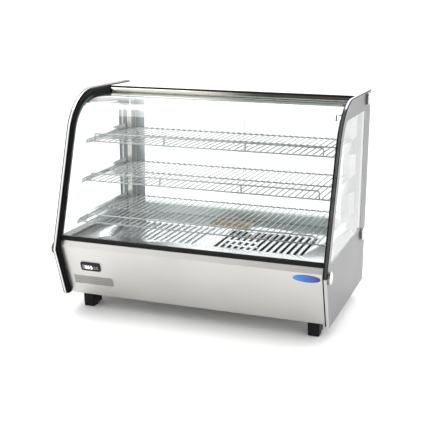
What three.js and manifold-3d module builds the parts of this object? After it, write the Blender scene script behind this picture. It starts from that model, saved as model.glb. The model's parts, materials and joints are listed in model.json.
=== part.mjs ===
// Counter-top hot food display case: curved front glass, three wire shelves, sliding doors at the back.
// Millimetres, +Z up. The origin is on the floor under the middle of the case.
// -Y is the customer's side, +Y the server's side with the doors, +X the right-hand end seen from the front.
import * as THREE from "three";
import { mergeVertices } from "three/addons/utils/BufferGeometryUtils.js";
import Module from "manifold-3d";

const wasm = await Module();
wasm.setup();

// ---- driving dimensions ----
const GAP = 0.3; // clearance between pieces that touch
const HALF_W = 430; // outside faces of the side panels
const NOSE = { y: -280, z: 214 }; // the side profile's foremost point
const BOTTOM_Z = 52;
const TOP_Z = 687;
const REAR_Y = 270;
const FRONT_SLOPE = 0.315; // run back per rise, above the nose
const UNDER_SLOPE = 0.367; // run back per drop, below the nose
const BEND_R = 170; // bend between the sloping front and the top
const BEND_STEPS = 12;
const SHEET = 1.5;
const SIDE_DEPTH = 8.5; // depth of a side panel's pan
const TRIM_IN = 421.2; // outer face of the black trim
const TRIM_T = 4.9;
const TRIM_DEPTH = 24; // from the side profile to the front skin
const TRIM_EDGE = 5; // from the side profile to the trim's outer edge
const TRIM_GLASS_DEPTH = 34; // the trim reaches further in beside the glass
const SPAN = 415.8; // half length of everything held between the trims
const INNER = 421; // half length of everything held between the side panels
const FOLD_Z = 221; // fold of the front panel
const SKIN_TOP_Z = 238.5; // top flange of the front panel
const DECK_Z = 226; // upper face of the deck
const SILL = { y0: 238, y1: 266, z0: 226.3, z1: 260 };
const HEADER = { z0: 640, z1: 680 };
const ROOF_Z = 682;
const RAIL = { frontY: 104, bottomZ: 650, grooveY: 113, backY: 118 };
const GLASS = { outer: 25, inner: 29, bottomZ: 244, backY: 112.7 };
const WINDOW = { front: 31, bottomZ: 249, topZ: 631, rearY: 192 };
const POST = { x: 385, lip: 351, y: 201, backY: 236.2 };
const SLOT_Z0 = 250; // lowest bracket slot in a post
const SLOT_PITCH = 25;
const DOOR = { z0: 248.6, z1: 657, overlap: 13, t: 5, leftY: 244, rightY: 254 };
const WIRE = 4;
const SHELF = { half: 399, gaps: 40, stepY: 196, backY: 233, railUp: 26, railHalf: 368, postX: 131 };
const WIRE_PITCH = (2 * SHELF.half - WIRE) / SHELF.gaps;
const SHELVES = [
  { name: "upper", y: -103, z: 525 },
  { name: "middle", y: -137, z: 405 },
  { name: "lower", y: -176, z: 281 },
];
const BRACKET = { x0: 402, x1: 404, lipX: 388, rise: 21, drop: 38 };
const CONTROLLER = { x: -325, z: 157 };
const VENT = { x: -323, z: 106, columns: 15, rows: 5, pitchX: 9, pitchZ: 6.4, hole: 4.2 };
const BADGE = { x: 366, z: 203, rx: 40, rz: 12 };
const FOOT = { x: 371, frontY: -150, rearY: 232, top: 19, base: 17, h: 53.8, heelY: -106 };
const KNOBS = [
  { name: "front", y: -257, z: 214 },
  { name: "rear_lower", y: 205, z: 226 },
  { name: "rear_upper", y: 205, z: 664 },
];
const PAN = { half: 75, y0: 130, y1: 215, depth: 21 };
const LAMP = { y: -64, z: 633.6, r: 6, half: 414 };
const HANGER = { y: 105.8, z0: 617, z1: 655.9, slant: 12 };
const HANGERS = [{ side: "left", x0: -387, x1: -346 }, { side: "right", x0: 376, x1: 413 }];
const FAN = { y: 10, motorTop: 102, r: 72 };
const SWITCH = { x: 300, z: 140, pivotY: 262 };
const GLAND = { x: 350, z: 84, backY: 280 };

// ---- solids ----
const MAP_X = new THREE.Matrix4().makeBasis(
  new THREE.Vector3(0, 1, 0),
  new THREE.Vector3(0, 0, 1),
  new THREE.Vector3(1, 0, 0),
);
const MAP_Y = new THREE.Matrix4().makeBasis(
  new THREE.Vector3(1, 0, 0),
  new THREE.Vector3(0, 0, 1),
  new THREE.Vector3(0, -1, 0),
);

function solid(geometry) {
  geometry.deleteAttribute("normal");
  geometry.deleteAttribute("uv");
  const merged = mergeVertices(geometry, 1e-4);
  return new wasm.Manifold(
    new wasm.Mesh({
      numProp: 3,
      vertProperties: new Float32Array(merged.attributes.position.array),
      triVerts: new Uint32Array(merged.index.array),
    }),
  );
}

function box(x0, x1, y0, y1, z0, z1) {
  const geometry = new THREE.BoxGeometry(x1 - x0, y1 - y0, z1 - z0);
  geometry.translate((x0 + x1) / 2, (y0 + y1) / 2, (z0 + z1) / 2);
  return solid(geometry);
}

function extrude(points, depth) {
  const shape = new THREE.Shape(points.map(([a, b]) => new THREE.Vector2(a, b)));
  return new THREE.ExtrudeGeometry(shape, { depth, bevelEnabled: false, curveSegments: 1 });
}

// A prism along X from a (y, z) outline.
function prismX(points, x0, x1) {
  return solid(extrude(points, x1 - x0).applyMatrix4(MAP_X).translate(x0, 0, 0));
}

// A prism along Y from an (x, z) outline.
function prismY(points, y0, y1) {
  return solid(extrude(points, y1 - y0).applyMatrix4(MAP_Y).translate(0, y1, 0));
}

// A prism along Z from an (x, y) outline.
function prismZ(points, z0, z1) {
  return solid(extrude(points, z1 - z0).translate(0, 0, z0));
}

function rod(axis, r, from, to, a, b, sides = 12) {
  const geometry = new THREE.CylinderGeometry(r, r, to - from, sides);
  const middle = (from + to) / 2;
  if (axis === "x") geometry.rotateZ(-Math.PI / 2).translate(middle, a, b);
  if (axis === "y") geometry.translate(a, middle, b);
  if (axis === "z") geometry.rotateX(Math.PI / 2).translate(a, b, middle);
  return solid(geometry);
}

const join = (...parts) => wasm.Manifold.union(parts);
const cut = (base, ...tools) => base.subtract(wasm.Manifold.union(tools));
const mirrored = (part) => part.mirror([1, 0, 0]);

// The closed outline of a bent sheet: the path and the same path moved t to its left.
function sheetOutline(path, t) {
  const normals = path.slice(1).map(([a, b], i) => {
    const [p, q] = path[i];
    const length = Math.hypot(a - p, b - q);
    return [-(b - q) / length, (a - p) / length];
  });
  const moved = path.map(([a, b], i) => {
    const n = normals[Math.max(i - 1, 0)];
    const m = normals[Math.min(i, normals.length - 1)];
    const k = t / (1 + n[0] * m[0] + n[1] * m[1]);
    return [a + (n[0] + m[0]) * k, b + (n[1] + m[1]) * k];
  });
  return [...path, ...moved.reverse()];
}

// ---- the side profile ----
// (y, z) corners: bottom front, bottom rear, top rear, the bend, the nose; each edge moved in by its own distance.
function profile(front, rear, bottom) {
  const lean = Math.atan(FRONT_SLOPE);
  const tangent = BEND_R * Math.tan((Math.PI / 2 - lean) / 2);
  const topCorner = NOSE.y + (TOP_Z - NOSE.z) * FRONT_SLOPE;
  const centre = [topCorner + tangent, TOP_Z - BEND_R];
  const corners = [
    [NOSE.y + (NOSE.z - BOTTOM_Z) * UNDER_SLOPE, BOTTOM_Z],
    [REAR_Y, BOTTOM_Z],
    [REAR_Y, TOP_Z],
  ];
  for (let i = 0; i <= BEND_STEPS; i += 1) {
    const angle = Math.PI / 2 + ((Math.PI / 2 - lean) * i) / BEND_STEPS;
    corners.push([centre[0] + BEND_R * Math.cos(angle), centre[1] + BEND_R * Math.sin(angle)]);
  }
  corners.push([NOSE.y, NOSE.z]);
  const count = corners.length;
  const distance = (i) => (i === 0 ? bottom : i === 1 ? rear : front);
  return corners.map((corner, i) => {
    const before = corners[(i + count - 1) % count];
    const after = corners[(i + 1) % count];
    return meet(before, corner, distance((i + count - 1) % count), after, distance(i));
  });
}

// Where the edge from a to b, moved in by d, meets the edge from b to c, moved in by e.
function meet(a, b, d, c, e) {
  const normal = (p, q) => {
    const length = Math.hypot(q[0] - p[0], q[1] - p[1]);
    return [-(q[1] - p[1]) / length, (q[0] - p[0]) / length];
  };
  const n = normal(a, b);
  const m = normal(b, c);
  const det = n[0] * m[1] - n[1] * m[0];
  return [b[0] + (d * m[1] - e * n[1]) / det, b[1] + (e * n[0] - d * m[0]) / det];
}

// The strip of the profile from its top rear end round to its bottom front end, between two depths.
function profileStrip(outer, inner, rear, bottom) {
  const a = profile(outer, rear, bottom);
  const b = profile(inner, rear, bottom);
  return [...a.slice(2), a[0], b[0], ...b.slice(2).reverse()];
}

const upperSkinY = (z, depth) => NOSE.y + (z - NOSE.z) * FRONT_SLOPE + depth * Math.hypot(1, FRONT_SLOPE);
const lowerSkinY = (z, depth) => NOSE.y + (NOSE.z - z) * UNDER_SLOPE + depth * Math.hypot(1, UNDER_SLOPE);

// Puts a piece made flat around the origin, facing -Y, on the leaning front skin.
function onFront(part, x, z) {
  const lean = (Math.atan(UNDER_SLOPE) * 180) / Math.PI;
  return part.rotate([lean, 0, 0]).translate([x, lowerSkinY(z, TRIM_DEPTH), z]);
}

// ---- side panels and trims (right-hand ones; the left-hand ones are mirrored) ----
function windowOutline(margin) {
  const inset = profile(WINDOW.front - margin, REAR_Y - WINDOW.rearY - margin, WINDOW.bottomZ - BOTTOM_Z - margin);
  const topZ = WINDOW.topZ + margin;
  const below = inset.slice(3, -1).filter(([, z]) => z < topZ);
  const frontBottomY = upperSkinY(WINDOW.bottomZ - margin, WINDOW.front - margin);
  const topFrontY = below[0][0] + (topZ - below[0][1]) * 1.1;
  return [inset[1], [inset[1][0], topZ], [topFrontY, topZ], ...below, [frontBottomY, WINDOW.bottomZ - margin]];
}

function sidePanel() {
  const x0 = HALF_W - SIDE_DEPTH;
  const outside = prismX(profile(0, 0, 0), x0, HALF_W);
  const hollow = prismX(profile(SHEET, SHEET, SHEET), x0 - 1, HALF_W - SHEET);
  const opening = prismX(windowOutline(0), x0, HALF_W + 1);
  const holes = KNOBS.map(({ y, z }) => rod("x", 4.4, x0, HALF_W + 1, y, z));
  return cut(outside, hollow, opening, ...holes);
}

function sideGlass() {
  return prismX(windowOutline(14), HALF_W - SHEET - GAP - 4, HALF_W - SHEET - GAP);
}

function sideTrim() {
  const x0 = TRIM_IN - TRIM_T;
  const band = prismX(profileStrip(TRIM_EDGE, TRIM_DEPTH, 2, 1), x0, TRIM_IN);
  const glassBand = prismX(profileStrip(TRIM_EDGE, TRIM_GLASS_DEPTH, 2, 1), x0, TRIM_IN);
  return join(band, glassBand.intersect(box(x0, TRIM_IN, -400, RAIL.backY + 6, 252, 700)));
}

function sideKnob({ y, z }) {
  const head = rod("x", 19, HALF_W + GAP, HALF_W + 8, y, z, 24);
  const crown = rod("x", 16.5, HALF_W + 7, HALF_W + 11, y, z, 24);
  const shank = rod("x", 4, HALF_W - SIDE_DEPTH + 0.2, HALF_W + 2, y, z);
  return join(head, crown, shank);
}

// ---- lower body ----
function basePan() {
  const inset = profile(26, 4.1, 2.1);
  const keep = [...inset.slice(0, 2), [inset[1][0], 224.2], [upperSkinY(224.2, 26), 224.2], inset.at(-1)];
  const block = prismX(keep, -INNER, INNER);
  const hollow = box(-INNER + SHEET, INNER - SHEET, -300, 300, BOTTOM_Z + 2.1 + SHEET, 300);
  const holes = feetPlaces().map(({ x, y }) => rod("z", 4.4, 50, 60, x, y));
  return cut(block, hollow, ...holes);
}

function feetPlaces() {
  return [-FOOT.x, FOOT.x].flatMap((x) => [FOOT.frontY, FOOT.rearY].map((y) => ({ x, y })));
}

function foot({ x, y }) {
  const block = new THREE.CylinderGeometry(FOOT.top * Math.SQRT2, FOOT.base * Math.SQRT2, FOOT.h, 4);
  block.rotateY(Math.PI / 4).rotateX(Math.PI / 2).translate(x, y, FOOT.h / 2);
  const screw = rod("z", 4, FOOT.h - 1, FOOT.h + 10, x, y);
  if (y > 0) return join(solid(block), screw);
  return join(solid(block), screw, box(x - 15, x + 15, y, FOOT.heelY, 4, 40));
}

function frontPanel() {
  const bottomY = lowerSkinY(BOTTOM_Z + GAP, TRIM_DEPTH);
  const path = [
    [bottomY + 16, BOTTOM_Z + GAP],
    [bottomY, BOTTOM_Z + GAP],
    [lowerSkinY(FOLD_Z, TRIM_DEPTH), FOLD_Z],
    [upperSkinY(SKIN_TOP_Z, TRIM_DEPTH), SKIN_TOP_Z],
    [upperSkinY(SKIN_TOP_Z, TRIM_DEPTH) + 14, SKIN_TOP_Z],
  ];
  const sheet = prismX(sheetOutline(path, -SHEET), -SPAN, SPAN);
  const cutOut = onFront(box(-29.4, 29.4, -3, 5, -11.9, 11.9), CONTROLLER.x, CONTROLLER.z);
  return cut(sheet, cutOut, ...ventHoles());
}

function ventHoles() {
  const holes = [];
  const half = VENT.hole / 2;
  for (let row = 0; row < VENT.rows; row += 1) {
    const up = (row - (VENT.rows - 1) / 2) * VENT.pitchZ;
    const stagger = (row % 2) * (VENT.pitchX / 2);
    for (let column = 0; column < VENT.columns; column += 1) {
      const along = (column - VENT.columns / 2) * VENT.pitchX + stagger;
      const hole = box(along - half, along + half, -3, 5, up - half, up + half);
      holes.push(onFront(hole, VENT.x, VENT.z));
    }
  }
  return holes;
}

function badge() {
  const oval = Array.from({ length: 24 }, (_, i) => {
    const angle = (i / 24) * 2 * Math.PI;
    return [BADGE.rx * Math.cos(angle), BADGE.rz * Math.sin(angle)];
  });
  return onFront(prismY(oval, -GAP - 1.5, -GAP), BADGE.x, BADGE.z);
}

function controllerBody() {
  const plate = box(-33, 33, -5, -GAP, -14.5, 14.5);
  const body = box(-29, 29, -1, 45, -11.5, 11.5);
  const lensSeat = box(-27, 9, -6, -3, -8.5, 8.5);
  const keySeats = [15.5, 24.5].map((x) => box(x - 3.6, x + 3.6, -6, -1.5, -5.6, 5.6));
  return onFront(cut(join(plate, body), lensSeat, ...keySeats), CONTROLLER.x, CONTROLLER.z);
}

const controllerLens = () => onFront(box(-26.7, 8.7, -5.2, -3.3, -8.2, 8.2), CONTROLLER.x, CONTROLLER.z);
const controllerKey = (x) => onFront(box(x - 3.3, x + 3.3, -6.2, -3, -5.3, 5.3), CONTROLLER.x, CONTROLLER.z);

function deckPlate() {
  const z0 = DECK_Z - SHEET;
  const plate = box(-INNER, INNER, -242, 266, z0, DECK_Z);
  const upstand = box(-INNER, INNER, -242, -240.5, z0, SKIN_TOP_Z - SHEET - GAP);
  const slots = [];
  for (let i = 0; i < 14; i += 1) {
    const x = 38 + i * 21;
    slots.push(box(x - 5, x + 5, -108, 95, z0 - 1, DECK_Z + 1));
    slots.push(box(-x - 5, -x + 5, -108, 95, z0 - 1, DECK_Z + 1));
  }
  const panHole = box(-PAN.half + 3, PAN.half - 3, PAN.y0 + 3, PAN.y1 - 3, z0 - 1, DECK_Z + 1);
  return cut(join(plate, upstand), panHole, ...slots);
}

function waterPan() {
  const { half, y0, y1, depth } = PAN;
  const rim = box(-half, half, y0, y1, DECK_Z + GAP, DECK_Z + 1.5);
  const tub = box(-half + 3.5, half - 3.5, y0 + 3.5, y1 - 3.5, DECK_Z - depth, DECK_Z + 1);
  const hollow = box(-half + 5, half - 5, y0 + 5, y1 - 5, DECK_Z - depth + SHEET, DECK_Z + 5);
  return cut(join(rim, tub), hollow);
}

function rearPanel() {
  const panel = box(-INNER, INNER, 266.5, 268, BOTTOM_Z + GAP, DECK_Z);
  const louvres = [];
  for (let row = 0; row < 6; row += 1) {
    const z = 90 + row * 16;
    louvres.push(box(-300, -180, 260, 270, z, z + 5));
    louvres.push(box(-60, 60, 260, 270, z, z + 5));
  }
  const switchHole = box(SWITCH.x - 27.4, SWITCH.x + 27.4, 260, 270, SWITCH.z - 15.4, SWITCH.z + 15.4);
  return cut(panel, ...louvres, switchHole, rod("y", 8.4, 260, 270, GLAND.x, GLAND.z));
}

// ---- rear switches and cable inlet ----
function switchPlate() {
  const { x, z } = SWITCH;
  const plate = box(x - 31, x + 31, 268 + GAP, 271, z - 19, z + 19);
  const body = box(x - 27, x + 27, 240, 269, z - 15, z + 15);
  const wells = [-13, 13].map((dx) => box(x + dx - 10, x + dx + 10, 247, 272, z - 13, z + 13));
  return cut(join(plate, body), ...wells);
}

function rocker(dx) {
  const r = 12.5;
  const face = (40 * Math.PI) / 180;
  const rest = (-7 * Math.PI) / 180;
  const points = [[5, 0]];
  for (let i = 0; i <= 12; i += 1) {
    const angle = face + (i / 12) * 2 * (Math.PI - face);
    points.push([r * Math.cos(angle), r * Math.sin(angle)]);
  }
  const turned = points.map(([a, b]) => [
    SWITCH.pivotY + a * Math.cos(rest) - b * Math.sin(rest),
    SWITCH.z + a * Math.sin(rest) + b * Math.cos(rest),
  ]);
  return prismX(turned, SWITCH.x + dx - 9.6, SWITCH.x + dx + 9.6);
}

function cableGland() {
  const nut = rod("y", 14, 268 + GAP, 273, GLAND.x, GLAND.z, 6);
  const sleeve = rod("y", 8, 258, GLAND.backY, GLAND.x, GLAND.z);
  return cut(join(nut, sleeve), rod("y", 4, 262, GLAND.backY + 1, GLAND.x, GLAND.z));
}

// ---- warm air ----
function fanMotor() {
  const can = rod("z", 35, BOTTOM_Z + 3.9, FAN.motorTop, 0, FAN.y, 20);
  return join(can, rod("z", 4, FAN.motorTop - 1, FAN.motorTop + 8, 0, FAN.y));
}

function fanImpeller() {
  const hub = rod("z", 15, FAN.motorTop + 0.5, FAN.motorTop + 20, 0, FAN.y, 16);
  const bore = rod("z", 4.3, FAN.motorTop, FAN.motorTop + 9, 0, FAN.y);
  const blades = [0, 1, 2, 3, 4].map((i) => {
    const flat = box(12, FAN.r, -11, 11, -1, 1).rotate([32, 0, 0]);
    return flat.rotate([0, 0, i * 72]).translate([0, FAN.y, FAN.motorTop + 10]);
  });
  return cut(join(hub, ...blades), bore);
}

function heaterElement() {
  const ring = new THREE.TorusGeometry(92, 4, 6, 28).translate(0, FAN.y, 170);
  const legs = [30, 150, 270].map((degrees) => {
    const angle = (degrees * Math.PI) / 180;
    const x = 92 * Math.cos(angle);
    const y = FAN.y + 92 * Math.sin(angle);
    return box(x - 3, x + 3, y - 3, y + 3, BOTTOM_Z + 3.9, 170);
  });
  return join(solid(ring), ...legs);
}

// ---- glass, rail and roof ----
function frontGlass() {
  const outer = profile(GLASS.outer, 0, 0).slice(3, -1);
  const inner = profile(GLASS.inner, 0, 0).slice(3, -1);
  const end = (depth) => [upperSkinY(GLASS.bottomZ, depth), GLASS.bottomZ];
  const top = (depth) => [GLASS.backY, TOP_Z - depth];
  const outline = [top(GLASS.outer), ...outer, end(GLASS.outer), end(GLASS.inner), ...inner.reverse(), top(GLASS.inner)];
  return prismX(outline, -SPAN, SPAN);
}

function frontSeal() {
  const at = (z, depth) => [upperSkinY(z, depth), z];
  const z0 = SKIN_TOP_Z + GAP;
  const seat = GLASS.bottomZ - GAP;
  const top = 251;
  const outline = [at(z0, 22.5), at(top, 22.5), at(top, GLASS.outer - GAP), at(seat, GLASS.outer - GAP)];
  outline.push(at(seat, GLASS.inner + GAP), at(top, GLASS.inner + GAP), at(top, 31.5), at(z0, 31.5));
  return prismX(outline, -SPAN, SPAN);
}

// A rounded moulding whose front groove takes the rear edge of the glass.
function glassTopRail() {
  const { frontY, bottomZ, grooveY } = RAIL;
  const grooveTop = TOP_Z - GLASS.outer + GAP;
  const grooveBottom = TOP_Z - GLASS.inner - GAP;
  const path = [
    [frontY + 8, ROOF_Z],
    [frontY + 4, ROOF_Z - 1],
    [frontY + 2, ROOF_Z - 4.5],
    [frontY, ROOF_Z - 11],
    [frontY, grooveTop],
    [grooveY, grooveTop],
    [grooveY, grooveBottom],
    [frontY, grooveBottom],
    [frontY, bottomZ],
  ];
  return prismX(sheetOutline(path, SHEET), -SPAN, SPAN);
}

function topPanel() {
  const path = [
    [RAIL.backY, ROOF_Z - 14],
    [RAIL.backY, ROOF_Z],
    [267.8, ROOF_Z],
    [267.8, HEADER.z0],
  ];
  return prismX(sheetOutline(path, -SHEET), -SPAN, SPAN);
}

// ---- rear frame and sliding doors ----
function rearPost() {
  const path = [
    [INNER, 234],
    [INNER, POST.y],
    [POST.x, POST.y],
    [POST.x, POST.backY],
    [POST.lip, POST.backY],
  ];
  const post = prismZ(sheetOutline(path, -SHEET), SILL.z0, HEADER.z0 - GAP);
  const slots = [];
  for (let z = SLOT_Z0; z < HEADER.z0 - 20; z += SLOT_PITCH) {
    slots.push(box(BRACKET.x0 - 0.6, BRACKET.x1 + 0.6, POST.y - 1, POST.y + 3, z - 7, z + 7));
  }
  return cut(post, ...slots);
}

const grooves = (z0, z1) => [DOOR.leftY, DOOR.rightY].map((y) => box(-INNER - 1, INNER + 1, y - 0.6, y + DOOR.t + 0.6, z0, z1));
const rearSill = () => cut(box(-INNER, INNER, SILL.y0, SILL.y1, SILL.z0, SILL.z1), ...grooves(DOOR.z0 - 0.3, SILL.z1 + 1));
const rearHeader = () => cut(box(-SPAN, SPAN, SILL.y0, SILL.y1, HEADER.z0, HEADER.z1), ...grooves(HEADER.z0 - 1, 662));

function doorGlass(side) {
  const y0 = side < 0 ? DOOR.leftY : DOOR.rightY;
  const ends = [side * (INNER - 0.6), -side * DOOR.overlap].sort((a, b) => a - b);
  return box(ends[0], ends[1], y0, y0 + DOOR.t, DOOR.z0, DOOR.z1);
}

function doorHandle(side) {
  const y0 = (side < 0 ? DOOR.leftY : DOOR.rightY) + DOOR.t + GAP;
  const plate = box(382, 404, y0, y0 + 4.2, 380, 520);
  const finger = box(386, 400, y0 + 1.4, y0 + 5, 386, 514);
  const handle = cut(plate, finger);
  return side < 0 ? mirrored(handle) : handle;
}

// ---- shelves ----
// The gaps between the wires, each as a block to cut away; the two outermost gaps stop at the step.
function shelfCells({ y, z }) {
  const middle = (y + SHELF.backY) / 2;
  return Array.from({ length: SHELF.gaps }, (_, i) => {
    const x = -SHELF.half + WIRE + i * WIRE_PITCH;
    const end = i === 0 || i === SHELF.gaps - 1 ? SHELF.stepY : SHELF.backY;
    const cell = (y0, y1) => box(x, x + WIRE_PITCH - WIRE, y0, y1, z - 1, z + WIRE + 1);
    return [cell(y + WIRE, middle - WIRE / 2), cell(middle + WIRE / 2, end - WIRE)];
  }).flat();
}

function shelf({ y, z }) {
  const { half, stepY, backY } = SHELF;
  const rearHalf = half - WIRE_PITCH;
  const outline = [
    [-half, y], [half, y], [half, stepY], [rearHalf, stepY],
    [rearHalf, backY], [-rearHalf, backY], [-rearHalf, stepY], [-half, stepY],
  ];
  const grid = cut(prismZ(outline, z, z + WIRE), ...shelfCells({ y, z }));
  const railZ = z + SHELF.railUp;
  const rail = box(-SHELF.railHalf, SHELF.railHalf, y, y + WIRE, railZ, railZ + WIRE);
  const places = [-SHELF.railHalf, -SHELF.postX, SHELF.postX - WIRE, SHELF.railHalf - WIRE];
  const uprights = places.map((x) => box(x, x + WIRE, y, y + WIRE, z + 1, railZ + 1));
  return join(grid, rail, ...uprights);
}

function shelfBracket({ y, z }) {
  const hookY = POST.y - GAP;
  const web = [
    [y + 4, z - 5], [y + 34, z + BRACKET.rise], [hookY, z + BRACKET.rise],
    [hookY, z - BRACKET.drop], [y + 120, z - 9], [y + 4, z - 9],
  ];
  const plate = prismX(web, BRACKET.x0, BRACKET.x1);
  const lip = box(BRACKET.lipX, BRACKET.x0 + 1, y + 6, hookY - 4, z - 2 - GAP, z - GAP);
  const highest = Math.floor((z + BRACKET.rise - 6 - SLOT_Z0) / SLOT_PITCH) * SLOT_PITCH + SLOT_Z0;
  const tabs = [highest, highest - SLOT_PITCH].map((at) => box(BRACKET.x0, BRACKET.x1, hookY - 2, POST.y + 5, at - 5, at + 5));
  return join(plate, lip, ...tabs);
}

// ---- light ----
// A plate on the back of the rail, with an arm forward to a clip round the tube.
function lampHanger({ x0, x1 }) {
  const { y, z0, z1, slant } = HANGER;
  const middle = (x0 + x1) / 2;
  const plate = prismY([[x0 + slant, z0], [x1, z0], [x1, z1], [x0, z1], [x0, z0 + slant]], y, y + 2);
  const arm = box(middle - 2, middle + 2, LAMP.y + LAMP.r, y + 1, LAMP.z, LAMP.z + 4);
  const clip = rod("x", LAMP.r + 2.2, middle - 2, middle + 2, LAMP.y, LAMP.z, 20);
  return cut(join(plate, arm, clip), rod("x", LAMP.r + GAP, x0, x1, LAMP.y, LAMP.z, 20));
}

const lampTube = () => rod("x", LAMP.r, -LAMP.half, LAMP.half, LAMP.y, LAMP.z, 16);

// ---- assembly ----
const group = new THREE.Group();
group.name = "hot_food_display_case";

function add(name, part) {
  const mesh = part.getMesh();
  const geometry = new THREE.BufferGeometry();
  geometry.setAttribute("position", new THREE.BufferAttribute(new Float32Array(mesh.vertProperties), 3));
  geometry.setIndex(new THREE.BufferAttribute(new Uint32Array(mesh.triVerts), 1));
  geometry.computeVertexNormals();
  const object = new THREE.Mesh(geometry, new THREE.MeshStandardMaterial());
  object.name = name;
  group.add(object);
}

function addPair(name, part) {
  add(`${name}_right`, part);
  add(`${name}_left`, mirrored(part));
}

add("base_pan", basePan());
add("front_panel", frontPanel());
add("rear_panel", rearPanel());
add("deck_plate", deckPlate());
add("water_pan", waterPan());
feetPlaces().forEach((place) => {
  const name = `foot_${place.y < 0 ? "front" : "rear"}_${place.x < 0 ? "left" : "right"}`;
  add(name, foot(place));
});
addPair("side_panel", sidePanel());
addPair("side_glass", sideGlass());
addPair("side_trim", sideTrim());
for (const knob of KNOBS) addPair(`side_knob_${knob.name}`, sideKnob(knob));
add("front_glass", frontGlass());
add("front_glass_seal", frontSeal());
add("glass_top_rail", glassTopRail());
add("top_panel", topPanel());
addPair("rear_post", rearPost());
add("rear_sill", rearSill());
add("rear_header", rearHeader());
add("door_glass_left", doorGlass(-1));
add("door_glass_right", doorGlass(1));
add("door_handle_left", doorHandle(-1));
add("door_handle_right", doorHandle(1));
for (const level of SHELVES) {
  add(`shelf_${level.name}`, shelf(level));
  addPair(`bracket_${level.name}`, shelfBracket(level));
}
for (const hanger of HANGERS) add(`lamp_hanger_${hanger.side}`, lampHanger(hanger));
add("lamp_tube", lampTube());
add("controller_body", controllerBody());
add("controller_lens", controllerLens());
add("controller_key_set", controllerKey(15.5));
add("controller_key_up", controllerKey(24.5));
add("badge", badge());
add("switch_plate", switchPlate());
add("power_rocker", rocker(-13));
add("light_rocker", rocker(13));
add("cable_gland", cableGland());
add("fan_motor", fanMotor());
add("fan_impeller", fanImpeller());
add("heater_element", heaterElement());

export default group;
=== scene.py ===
# Looks of the counter-top hot food display case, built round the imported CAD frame.
# Lengths are millimetres except in the studio; MM turns them into Blender's metres.
# +Z up, -Y the customer's side, +Y the server's side with the sliding doors, +X the right-hand end.
import json
import math
import bmesh
import bpy
from mathutils import Matrix, Vector

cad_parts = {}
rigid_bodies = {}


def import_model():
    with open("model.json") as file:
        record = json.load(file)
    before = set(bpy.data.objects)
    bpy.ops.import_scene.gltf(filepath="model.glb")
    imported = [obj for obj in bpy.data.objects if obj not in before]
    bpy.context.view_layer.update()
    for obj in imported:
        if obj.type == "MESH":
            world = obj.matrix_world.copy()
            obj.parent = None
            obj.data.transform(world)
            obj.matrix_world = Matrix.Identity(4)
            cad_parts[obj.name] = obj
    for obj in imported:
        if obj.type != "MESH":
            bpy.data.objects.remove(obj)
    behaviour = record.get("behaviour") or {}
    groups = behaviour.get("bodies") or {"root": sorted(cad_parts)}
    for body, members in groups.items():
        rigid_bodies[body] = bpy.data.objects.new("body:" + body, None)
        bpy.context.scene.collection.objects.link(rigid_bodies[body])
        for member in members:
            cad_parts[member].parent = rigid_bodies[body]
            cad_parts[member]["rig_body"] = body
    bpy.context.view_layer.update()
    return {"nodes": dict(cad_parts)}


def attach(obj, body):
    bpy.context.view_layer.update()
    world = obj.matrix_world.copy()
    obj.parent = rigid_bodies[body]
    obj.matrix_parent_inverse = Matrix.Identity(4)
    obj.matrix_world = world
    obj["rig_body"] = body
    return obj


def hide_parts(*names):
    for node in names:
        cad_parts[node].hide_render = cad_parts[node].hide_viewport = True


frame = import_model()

MM = 0.001

# ---- camera: place in mm, angles in degrees, lens and sensor in mm ----
CAMERA_PLACE = (939, -2572, 974)
CAMERA_YAW = 20.07
CAMERA_PITCH = 13.88
CAMERA_ROLL = 0.31
CAMERA_LENS = 74.14
SENSOR = 36

# ---- studio, in metres ----
# The dome's brightest direction, the cosines between which it brightens, and its strength at those two.
DOME_BRIGHT = (-0.25, 0.45, 0.86)
DOME_SPREAD = (-0.75, 0.6)
DOME_RANGE = (0.95, 1.95)
# A dark screen at the left: direction, cosines where the dark starts and is full, how much it takes away.
LEFT_SCREEN = ((-0.97, -0.05, 0.22), (0.82, 0.94), 0.85)
# A dark screen from the front up over the case: along each axis, where it starts and is full.
FRONT_SCREEN = (
    ((1, 0, 0), (-0.37, -0.29)),
    ((-1, 0, 0), (-0.06, 0.02)),
    ((0, -1, 0), (-0.5, -0.3)),
    ((0, 0, 1), (0.05, 0.2)),
)
FRONT_SCREEN_TAKES = 0.93
FLOOR_HALF = 30
# The floor's painted shade: distances where it starts and is full, and the floor's colour near and far.
FLOOR_SHADE_FADE = (0.9, 2.2)
FLOOR_NEAR = (0.93, 0.93, 0.93)
FLOOR_FAR_SHADE = (0.82, 0.82, 0.82)

# ---- driving dimensions, shared with the CAD ----
# The side profile as (y, z): its nose, the slopes above and below it, and the bend at the top.
NOSE = (-280, 214)
FRONT_SLOPE = 0.315
UNDER_SLOPE = 0.367
BEND_R = 170
BEND_STEPS = 40
# The body: half its width, the half length of what lies between the trims, and its limits.
HALF_W = 430
SPAN = 415.8
BOTTOM_Z = 52
TOP_Z = 687
REAR_Y = 270
TRIM_DEPTH = 24
SHEET = 1.5
DECK_Z = 226
# The front panel's fold, the top of its skin, and its flanges behind the bottom and top edges.
FOLD_Z = 221
SKIN_TOP_Z = 238.5
BOTTOM_FLANGE = 16
TOP_FLANGE = 14
# The roof and the rail at its front edge.
ROOF_Z = 682
ROOF_FRONT_Y = 118
ROOF_BACK_Y = 267.8
ROOF_SKIRT_Z = 640
RAIL_FRONT_Y = 104
RAIL_BOTTOM_Z = 650
# The front glass: depths of its two faces under the profile, its lower edge and its rear edge.
GLASS_OUTER = 25
GLASS_INNER = 29
GLASS_BOTTOM_Z = 244
GLASS_BACK_Y = 112.7
# Fittings on the side panels, as (y, z), and feet, as y.
KNOBS = {"front": (-257, 214), "rear_lower": (205, 226), "rear_upper": (205, 664)}
FEET = {"front": -150, "rear": 232}
FOOT_X = 371
FOOT_H = 53.8
FOOT_HEEL_Y = -106
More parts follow.
